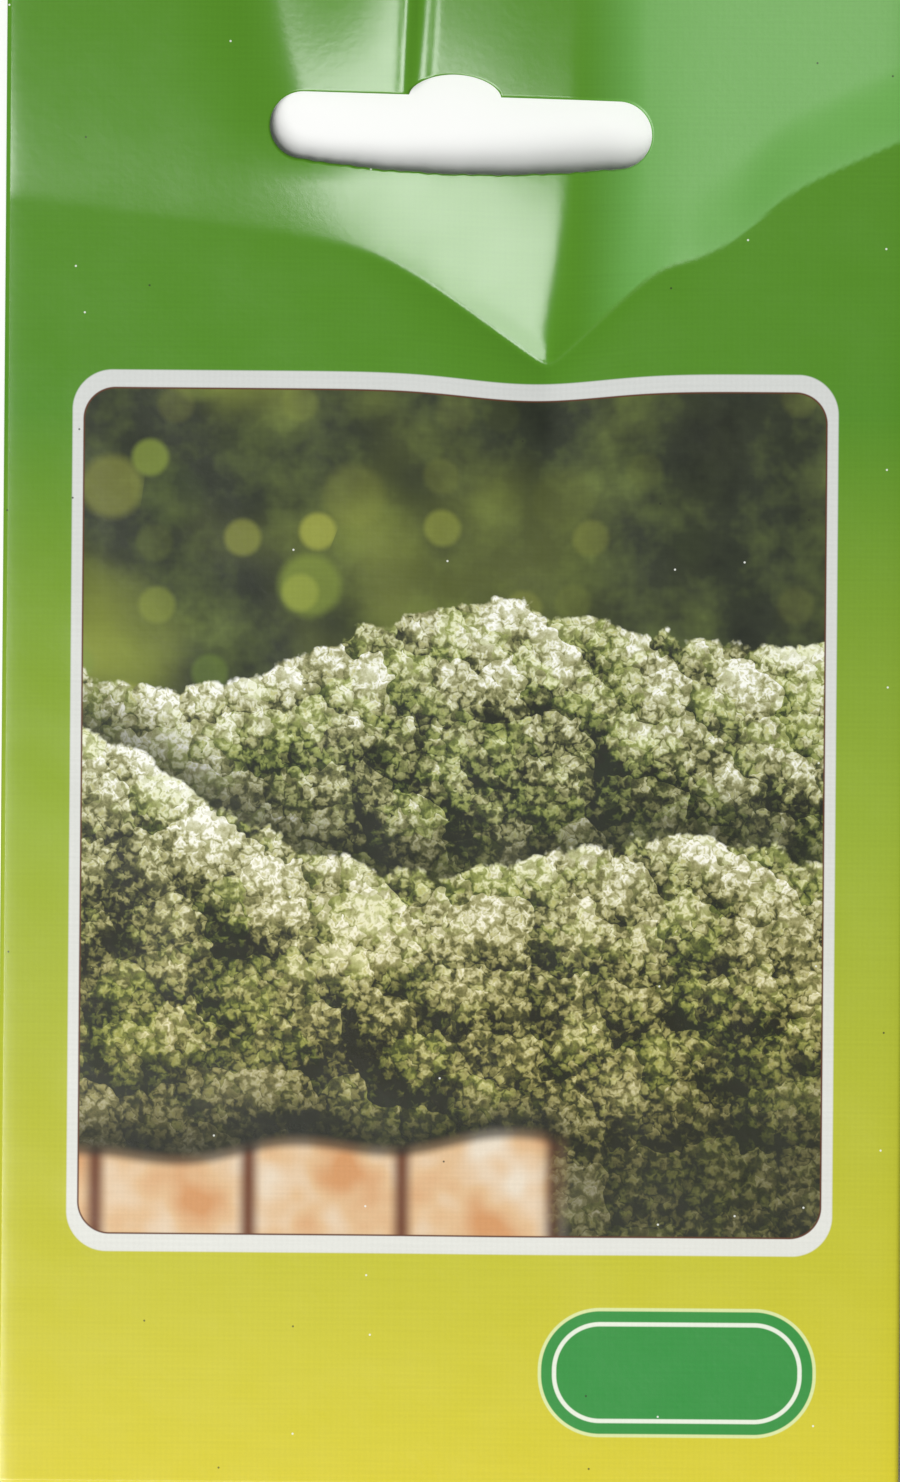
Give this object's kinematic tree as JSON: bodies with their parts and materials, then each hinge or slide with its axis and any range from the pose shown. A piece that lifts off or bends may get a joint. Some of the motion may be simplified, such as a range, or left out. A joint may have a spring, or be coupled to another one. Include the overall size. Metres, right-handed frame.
{
  "type": "seed packet",
  "caption": "Flat sealed seed packet of printed laminate, with a hang slot in its header and a flower picture on its front, lying on its back.",
  "frame": {"origin": "under the middle of the packet, on the surface that it lies on", "axes": "+Y along the packet towards the header with the hang slot, +Z out of the printed front, +X to the right as the front is read"},
  "size_m": [0.0766, 0.127, 0.0032],
  "materials": {
    "front_print": "glossy film over a green to yellow print, with a white framed picture",
    "back_print": "glossy film over a yellow green print with a bare pale panel",
    "seed_coat": "matte brown seed coat"
  },
  "bodies": {
    "root": {"front_sheet": "front_print", "back_sheet": "back_print", "seeds": "seed_coat"}
  },
  "joints": []
}
